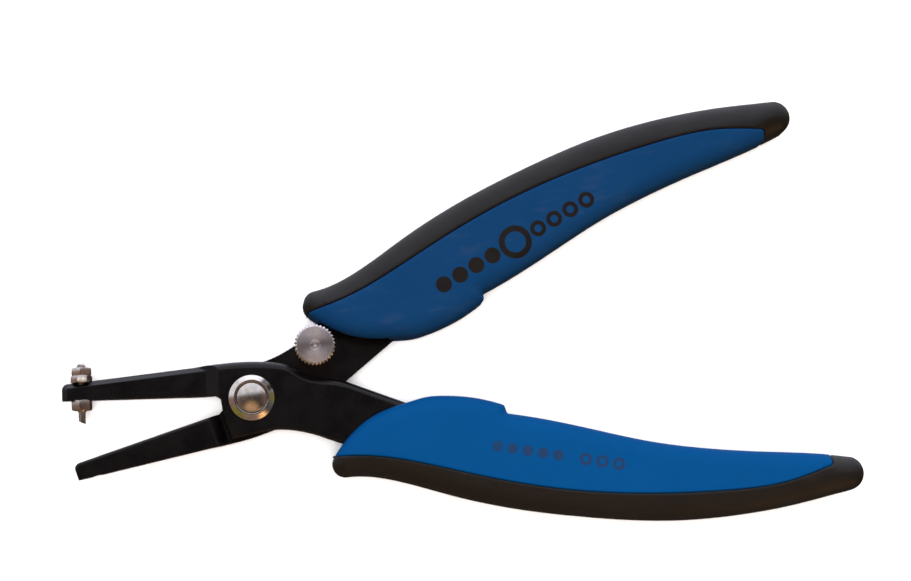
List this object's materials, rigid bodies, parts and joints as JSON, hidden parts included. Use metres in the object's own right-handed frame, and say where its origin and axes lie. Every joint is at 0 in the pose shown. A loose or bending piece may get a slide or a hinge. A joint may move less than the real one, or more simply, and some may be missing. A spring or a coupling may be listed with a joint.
{
  "type": "hole punch pliers",
  "caption": "Plier-style hand punch for leather and thin sheet: a replaceable round punch in the upper jaw meets a die hole in the lower jaw, with a screw stop and cushioned grips.",
  "frame": {"origin": "on the pivot axis, in the plane through the middle of the jaws, the punch and the grips", "axes": "+X from the pivot towards the handles along the bisector of the levers, the jaws point along -X, +Z along the pivot axis towards the collar and the stop knob, +Y towards the upper handle and the upper jaw"},
  "size_m": [0.1672, 0.0884, 0.0145],
  "materials": {
    "black_steel": "black oxide, satin",
    "nickel_plate": "bright nickel plating",
    "turned_steel": "turned and knurled, nickel plated",
    "tool_steel": "ground tool steel",
    "blue_grip": "fine matte moulded",
    "black_grip": "soft matte, warm black"
  },
  "bodies": {
    "die_side": {"die_lever": "black_steel", "upper_grip_body": "blue_grip", "upper_grip_spine": "black_grip", "pivot_rivet": "nickel_plate", "pivot_collar": "nickel_plate"},
    "punch_side": {"punch_lever": "black_steel", "lower_grip_body": "blue_grip", "lower_grip_spine": "black_grip", "punch": "tool_steel", "punch_lock_nut": "nickel_plate", "punch_jam_nut": "nickel_plate"},
    "stop_screw": {"stop_screw": "turned_steel"},
    "stop_knob": {"stop_knob": "turned_steel"},
    "lock_nut": {"stop_lock_nut": "nickel_plate"}
  },
  "joints": [
    {"name": "jaw_pivot", "type": "hinge", "parent": "die_side", "child": "punch_side", "pos_m": [0, 0, 0], "axis": [0, 0, 1], "range_deg": [-3, 16.5]},
    {"name": "stop_feed", "type": "slide", "parent": "die_side", "child": "stop_screw", "axis": [0, 0, 1], "range_m": [-0.00035, 0.0014]},
    {"name": "knob_turn", "type": "hinge", "parent": "stop_screw", "child": "stop_knob", "pos_m": [0.01521, 0.00832, 0], "axis": [0, 0, 1], "range_deg": [-181, 721]},
    {"name": "lock_nut_turn", "type": "hinge", "parent": "die_side", "child": "lock_nut", "pos_m": [0.01521, 0.00832, 0], "axis": [0, 0, 1], "range_deg": [0, 90]}
  ],
  "couplings": [
    {"joint": "knob_turn", "follows": "stop_feed", "rad_per_m": 8976}
  ]
}
